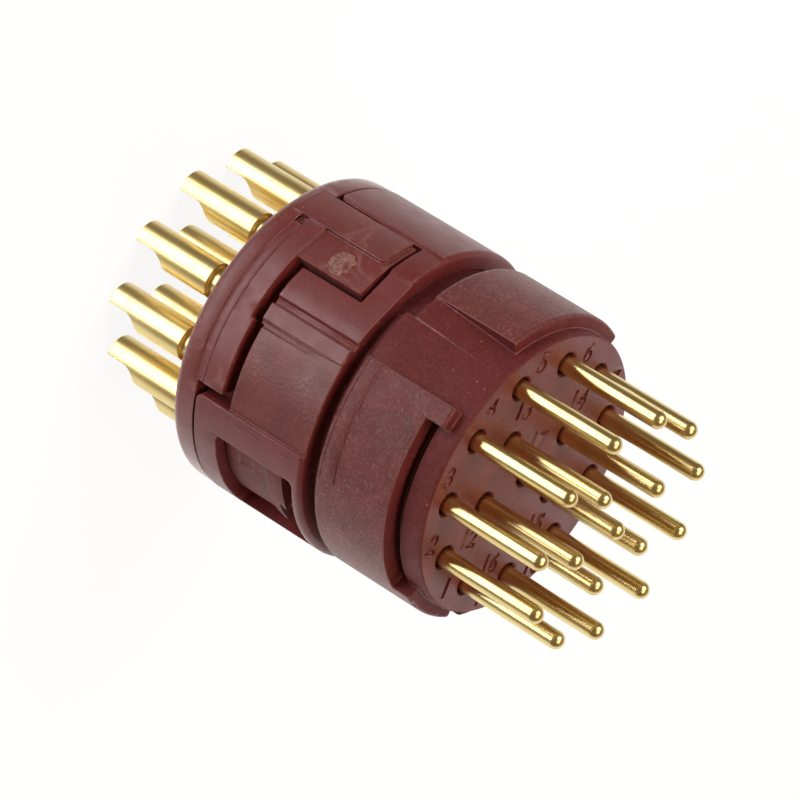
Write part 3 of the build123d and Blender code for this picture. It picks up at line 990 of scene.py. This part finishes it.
@dataclass
class GateMark:
    """Rough scar on the latch's sunk tile, where the moulding's gate was broken off.

    Each of its two fractal noises is given by its increment, its lacunarity and its octaves.
    """

    angle: float = 234.0
    height: float = 11.5
    tile_radius: float = 8.8
    half_width: float = 0.88
    half_height: float = 0.76
    rise: float = 0.055
    sink: float = 0.012
    roughness: float = 0.055
    rim_steepness: int = 4
    rim_calm: float = 0.8
    lump_size: float = 0.24
    lumps: tuple[float, float, int] = (0.9, 2.1, 4)
    raggedness: float = 0.035
    rim_waves: float = 2.0
    rim_lumps: tuple[float, float, int] = (1.0, 2.0, 3)
    pit_radius: float = 0.17
    pit_depth: float = 0.2
    pit_across: float = 0.14
    pit_along: float = 0.34
    heart: float = 0.86
    fading: float = 0.3
    spokes: int = 84
    rings: int = 30
    seed: float = 4.0

    def lift(self, across: float, along: float, reach: float) -> float:
        """Works out how high the scar stands above the tile.

        Args:
            across: Distance round the tile from the scar's middle, in millimetres.
            along: Distance along the axis from it, in millimetres.
            reach: Distance to it as a share of the way to the rim.

        Returns:
            The height in millimetres, negative in the pit and under the rim.
        """
        spot = Vector((across / self.lump_size, along / self.lump_size, self.seed))
        edge = reach ** self.rim_steepness
        rough = self.roughness * noise.fractal(spot, *self.lumps) * (1 - self.rim_calm * edge)
        away = math.hypot(across - self.pit_across, along - self.pit_along) / self.pit_radius
        pit = self.pit_depth * max(0.0, 1 - away ** 2)
        return self.rise * (1 - edge) - self.sink * edge + rough - pit

    def place(self, turn: float, reach: float) -> Vector:
        """Finds a point of the scar's surface.

        Args:
            turn: Its direction from the scar's middle, in radians.
            reach: Its distance as a share of the way to the ragged rim.

        Returns:
            The point in metres.
        """
        ray = Vector((math.cos(turn), math.sin(turn), self.seed))
        rim = 1 + self.raggedness * noise.fractal(ray * self.rim_waves, *self.rim_lumps)
        across, along = self.half_width * rim * reach * ray.x, self.half_height * rim * reach * ray.y
        radius = self.tile_radius + self.lift(across, along, reach)
        return polar(radius, self.angle + math.degrees(across / self.tile_radius), self.height + along)

    def surface(self, centre: Vector) -> Grain:
        """Tells which surface a face has: torn inside a ragged outline, smooth outside.

        Args:
            centre: The face's middle in millimetres.

        Returns:
            The surface.
        """
        across = math.radians(angle_of(centre) - self.angle) * self.tile_radius
        along = centre.z - self.height
        spot = Vector((across / self.lump_size, along / self.lump_size, -self.seed))
        reach = math.hypot(across / self.half_width, along / self.half_height)
        return Grain.TORN if reach + self.fading * noise.noise(spot) < self.heart else Grain.SMOOTH

    def build(self) -> bpy.types.Object:
        """Builds the scar as a skin whose lumps break through the tile's surface.

        Returns:
            The piece, riding on the body.
        """
        shell = bmesh.new()
        middle = shell.verts.new(self.place(0, 0))
        turns = [math.tau * spoke / self.spokes for spoke in range(self.spokes)]
        circles = [[shell.verts.new(self.place(turn, ring / self.rings)) for turn in turns]
                   for ring in range(1, self.rings + 1)]
        for i in range(self.spokes):
            j = (i + 1) % self.spokes
            shell.faces.new([middle, circles[0][i], circles[0][j]])
            for inner, outer in zip(circles, circles[1:]):
                shell.faces.new([inner[i], outer[i], outer[j], inner[j]])
        bmesh.ops.recalc_face_normals(shell, faces=shell.faces)
        piece = object_from("gate_mark", shell)
        dress_moulding(piece.data)
        for face in piece.data.polygons:
            face.material_index = GRAINS.index(self.surface(face.center / MM))
        piece.data.shade_smooth()
        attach(piece, BODY)
        return piece


@dataclass(frozen=True)
class WitnessLine:
    """One straight run of flash on a turned wall: its radius, and the angle and height of both ends."""

    radius: float
    start_angle: float
    start_height: float
    end_angle: float
    end_height: float

    def turned_by(self, angle: float) -> "WitnessLine":
        """The same run, turned about the connector axis by an angle in degrees."""
        return replace(self, start_angle=self.start_angle + angle, end_angle=self.end_angle + angle)

    def points(self, spacing: float) -> list[Vector]:
        """Spreads points evenly along the run.

        Args:
            spacing: About how far apart they are, in millimetres.

        Returns:
            The points in metres.
        """
        span = math.hypot(math.radians(self.end_angle - self.start_angle) * self.radius,
                          self.end_height - self.start_height)
        count = max(2, round(span / spacing))
        steps = [i / count for i in range(count + 1)]
        return [polar(self.radius, self.start_angle + (self.end_angle - self.start_angle) * s,
                      self.start_height + (self.end_height - self.start_height) * s) for s in steps]


@dataclass
class Flash:
    """Thin ragged flash that the moulding tool's joints left on the head and the sleeve.

    The head's two runs lie along its strip and beside its slot. The sleeve's two lie along the lap, and
    are there again half a turn round.
    """

    head_runs: tuple[WitnessLine, ...] = (
        WitnessLine(radius=8.865, start_angle=258.5, start_height=17.35, end_angle=302.4, end_height=17.35),
        WitnessLine(radius=8.825, start_angle=264.0, start_height=20.75, end_angle=275.0, end_height=20.75))
    sleeve_runs: tuple[WitnessLine, ...] = (
        WitnessLine(radius=9.0, start_angle=299.5, start_height=9.05, end_angle=299.2, end_height=13.1),
        WitnessLine(radius=9.0, start_angle=302.6, start_height=9.7, end_angle=302.7, end_height=14.6))
    spacing: float = 0.2
    sections_per_step: int = 3
    bead_radius: float = 0.034
    bead_sides: int = 6
    thinnest: float = 0.25
    thickest: float = 1.2
    swell_floor: float = 0.4
    swell_full: float = 0.62
    raggedness: float = 0.05
    lump_size: float = 0.5
    seed: float = 7.0

    def tree(self) -> bpy.types.NodeTree:
        """Makes the tree that turns edges into thin beads that wander, swell and fade.

        Returns:
            The geometry tree.
        """
        tree, given = geometry_tree("flash_beads", {
            "Spacing": "Float", "Bead Radius": "Float", "Raggedness": "Float", "Lumps Per Metre": "Float",
            "Seed": "Float", "Plastic": "Material"})
        curves = add_node(tree, "GeometryNodeMeshToCurve", {}, {0: given["Geometry"]})
        fine = add_node(tree, "GeometryNodeResampleCurve", {"mode": "LENGTH"},
                        {"Curve": curves, "Length": given["Spacing"]})
        lumps = add_node(tree, "ShaderNodeTexNoise", {"noise_dimensions": "4D"},
                         {"W": given["Seed"], "Scale": given["Lumps Per Metre"], "Detail": 3.0})
        middle = add_node(tree, "ShaderNodeVectorMath", {"operation": "SUBTRACT"},
                          {0: lumps.outputs["Color"], 1: (0.5, 0.5, 0.5)})
        wander = add_node(tree, "ShaderNodeVectorMath", {"operation": "SCALE"},
                          {0: middle, "Scale": given["Raggedness"]})
        moved = add_node(tree, "GeometryNodeSetPosition", {}, {"Geometry": fine, "Offset": wander})
        swell = add_node(tree, "ShaderNodeMapRange", {"clamp": True},
                         {"Value": lumps.outputs["Fac"], "From Min": self.swell_floor,
                          "From Max": self.swell_full, "To Min": self.thinnest, "To Max": self.thickest})
        thick = add_node(tree, "ShaderNodeMath", {"operation": "MULTIPLY"},
                         {0: swell, 1: given["Bead Radius"]})
        sized = add_node(tree, "GeometryNodeSetCurveRadius", {}, {0: moved, "Radius": thick})
        profile = add_node(tree, "GeometryNodeCurvePrimitiveCircle", {},
                           {"Resolution": self.bead_sides, "Radius": 1.0})
        scale = add_node(tree, "GeometryNodeInputRadius")
        beads = add_node(tree, "GeometryNodeCurveToMesh", {},
                         {"Curve": sized, "Profile Curve": profile, "Scale": scale, "Fill Caps": True})
        end_tree(tree, beads, given["Plastic"])
        return tree

    def build(self) -> bpy.types.Object:
        """Builds all flash as one mesh, half sunk in the walls that it stands on.

        Returns:
            The piece, riding on the body.
        """
        shell = bmesh.new()
        laps = [run.turned_by(angle) for angle in (0, 180) for run in self.sleeve_runs]
        for run in (*self.head_runs, *laps):
            row = [shell.verts.new(point) for point in run.points(self.spacing)]
            for low, high in zip(row, row[1:]):
                shell.edges.new((low, high))
        piece = object_from("moulding_flash", shell)
        # The flash is drawn in the pale edge material, a painted highlight along its beads.
        plastic = INSULATOR_FINISHES[GRAINS.index(Grain.EDGE)].material()
        run_tree(piece, self.tree(), {
            "Spacing": self.spacing / self.sections_per_step * MM, "Bead Radius": self.bead_radius * MM,
            "Raggedness": self.raggedness * MM, "Lumps Per Metre": 1 / (self.lump_size * MM),
            "Seed": self.seed, "Plastic": plastic})
        piece.data.shade_smooth()
        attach(piece, BODY)
        return piece


@dataclass(frozen=True)
class SoftBox:
    """Soft rectangular lamp that looks at the insert's middle.

    Its azimuth runs from +X and its elevation from the horizon. Its radiance is the brightness of its
    face, where 1 is white.
    """

    name: str
    azimuth: float
    elevation: float
    size: tuple[float, float]
    distance: float
    radiance: float
    colour: str = WHITE

    def build(self) -> None:
        """Adds the lamp to the scene."""
        towards = direction(self.azimuth, self.elevation)
        data = bpy.data.lights.new(self.name, "AREA")
        data.shape = "RECTANGLE"
        data.size, data.size_y = self.size[0] * MM, self.size[1] * MM
        data.energy = self.radiance * math.pi * data.size * data.size_y
        data.color = linear(self.colour)[:3]
        lamp = linked(self.name, data)
        lamp.location = towards * self.distance * MM + Vector((0, 0, CAD_BOX[1].z / 2))
        lamp.rotation_mode = "QUATERNION"
        lamp.rotation_quaternion = towards.to_track_quat("Z", "Y")


@dataclass
class Studio:
    """Floor, camera, world and soft lamps.

    The camera repeats the photograph's angle, roll included. It is placed by where it sees the cups' end
    of the connector axis: how far to its right, below and ahead.
    """

    look_azimuth: float = 83.0478
    look_elevation: float = -28.783
    roll: float = -121.7682
    origin_seen: tuple[float, float, float] = (-10.6344, -6.7444, 319.150)
    lens: float = 270.0
    sensor: float = 36.0
    nearest: float = 10.0
    farthest: float = 20000.0
    sweep_azimuth: float = 65.0
    sweep_elevation: float = -29.0
    sweep_start: float = 0.05
    sweep_full: float = 0.5
    sweep_light: float = 2.4
    room_light: float = 0.16
    room_colour: str = "#FFE4C4"
    floor_side: float = 6000.0
    floor_colour: str = "#F2F2F2"
    floor_glow: float = 1.06
    glow_share: float = 0.85
    lamps: tuple[SoftBox, ...] = (
        SoftBox("key_box", azimuth=263, elevation=-34, size=(350, 115), distance=300, radiance=5.2),
        SoftBox("side_box", azimuth=201, elevation=49, size=(260, 200), distance=400, radiance=5.0,
                colour="#FFF6EC"),
        SoftBox("top_box", azimuth=263, elevation=72, size=(200, 150), distance=400, radiance=5.5,
                colour="#FFDDB8"))

    def camera(self) -> None:
        """Sets up the camera from the fitted view of the photograph."""
        ahead = direction(self.look_azimuth, self.look_elevation)
        turn = Quaternion(ahead, math.radians(self.roll)) @ ahead.to_track_quat("-Z", "Y")
        right, below, away = self.origin_seen
        centre = turn @ Vector((-right, below, away)) * MM
        data = bpy.data.cameras.new("camera")
        data.lens = self.lens
        data.sensor_width = self.sensor
        data.clip_start, data.clip_end = self.nearest * MM, self.farthest * MM
        camera = linked("camera", data)
        camera.matrix_world = Matrix.LocRotScale(centre, turn, None)
        bpy.context.scene.camera = camera

    def world(self) -> None:
        """Sets up the world: white to the camera; to the insert, a white sweep behind a dim warm room."""
        world = bpy.data.worlds.new("studio")
        bpy.context.scene.world = world
        world.use_nodes = True
        tree = world.node_tree
        tree.nodes.clear()
        look = add_node(tree, "ShaderNodeTexCoord").outputs["Generated"]
        facing = add_node(tree, "ShaderNodeVectorMath", {"operation": "DOT_PRODUCT"},
                          {0: look, 1: direction(self.sweep_azimuth, self.sweep_elevation)})
        sweep = add_node(tree, "ShaderNodeMapRange", {"interpolation_type": "SMOOTHSTEP"},
                         {"Value": facing.outputs["Value"], "From Min": self.sweep_start,
                          "From Max": self.sweep_full})
        path = add_node(tree, "ShaderNodeLightPath")
        mirrored = add_node(tree, "ShaderNodeMath", {"operation": "MAXIMUM"},
                            {0: path.outputs["Is Glossy Ray"], 1: path.outputs["Is Transmission Ray"]})
        backdrop = add_node(tree, "ShaderNodeMath", {"operation": "MULTIPLY"}, {0: mirrored, 1: sweep})
        shown = add_node(tree, "ShaderNodeMath", {"operation": "MAXIMUM"},
                         {0: path.outputs["Is Camera Ray"], 1: backdrop})
        light = add_node(tree, "ShaderNodeMapRange", {}, {"Value": path.outputs["Is Diffuse Ray"],
                                                          "To Min": 1 - self.room_light,
                                                          "To Max": self.sweep_light})
        level = add_node(tree, "ShaderNodeMath", {"operation": "MULTIPLY_ADD"},
                         {0: light, 1: sweep, 2: self.room_light})
        colour = add_node(tree, "ShaderNodeMix", {"data_type": "RGBA"},
                          {"Factor": sweep, 6: linear(self.room_colour), 7: linear(WHITE)})
        room = add_node(tree, "ShaderNodeBackground", {}, {"Color": colour.outputs[2], "Strength": level})
        white = add_node(tree, "ShaderNodeBackground", {}, {"Color": linear(WHITE), "Strength": 1.0})
        mix = add_node(tree, "ShaderNodeMixShader", {}, {0: shown, 1: room, 2: white})
        add_node(tree, "ShaderNodeOutputWorld", {}, {"Surface": mix})

    def floor(self) -> None:
        """Lays a pale floor under the cups. It shows the insert's shadow and lets the low lamps through.

        Matt white paper scatters light evenly, and a glow keeps it near white in the dim room.
        """
        half = self.floor_side / 2 * MM
        data = bpy.data.meshes.new("floor")
        data.from_pydata([(-half, -half, 0), (half, -half, 0), (half, half, 0), (-half, half, 0)], [],
                         [(0, 1, 2, 3)])
        floor = linked("floor", data)
        material, tree = new_material("matt_white_paper")
        paper = add_node(tree, "ShaderNodeBsdfDiffuse", {}, {"Color": linear(self.floor_colour)})
        glow = add_node(tree, "ShaderNodeEmission", {}, {"Color": linear(WHITE), "Strength": self.floor_glow})
        mix = add_node(tree, "ShaderNodeMixShader", {}, {0: self.glow_share, 1: paper, 2: glow})
        add_node(tree, "ShaderNodeOutputMaterial", {}, {"Surface": mix})
        data.materials.append(material)
        floor.visible_shadow = False
        floor.visible_glossy = False
        floor.visible_diffuse = False

    def build(self) -> None:
        """Sets up the whole stage."""
        self.camera()
        self.world()
        self.floor()
        for lamp in self.lamps:
            lamp.build()
        bpy.context.scene.view_settings.view_transform = "Standard"


def main() -> None:
    """Builds the studio and the pieces in order and reports each of them."""
    logging.basicConfig(level=logging.INFO, format="%(name)s: %(message)s")
    Studio().build()
    for part in (Contacts(), FrontInsulator(), MiddleSleeve(), RearCap(), GateMark(), Flash()):
        piece = part.build()
        LOG.info("%s: %d faces", piece.name, len(piece.data.polygons))


if __name__ == "__main__":
    main()
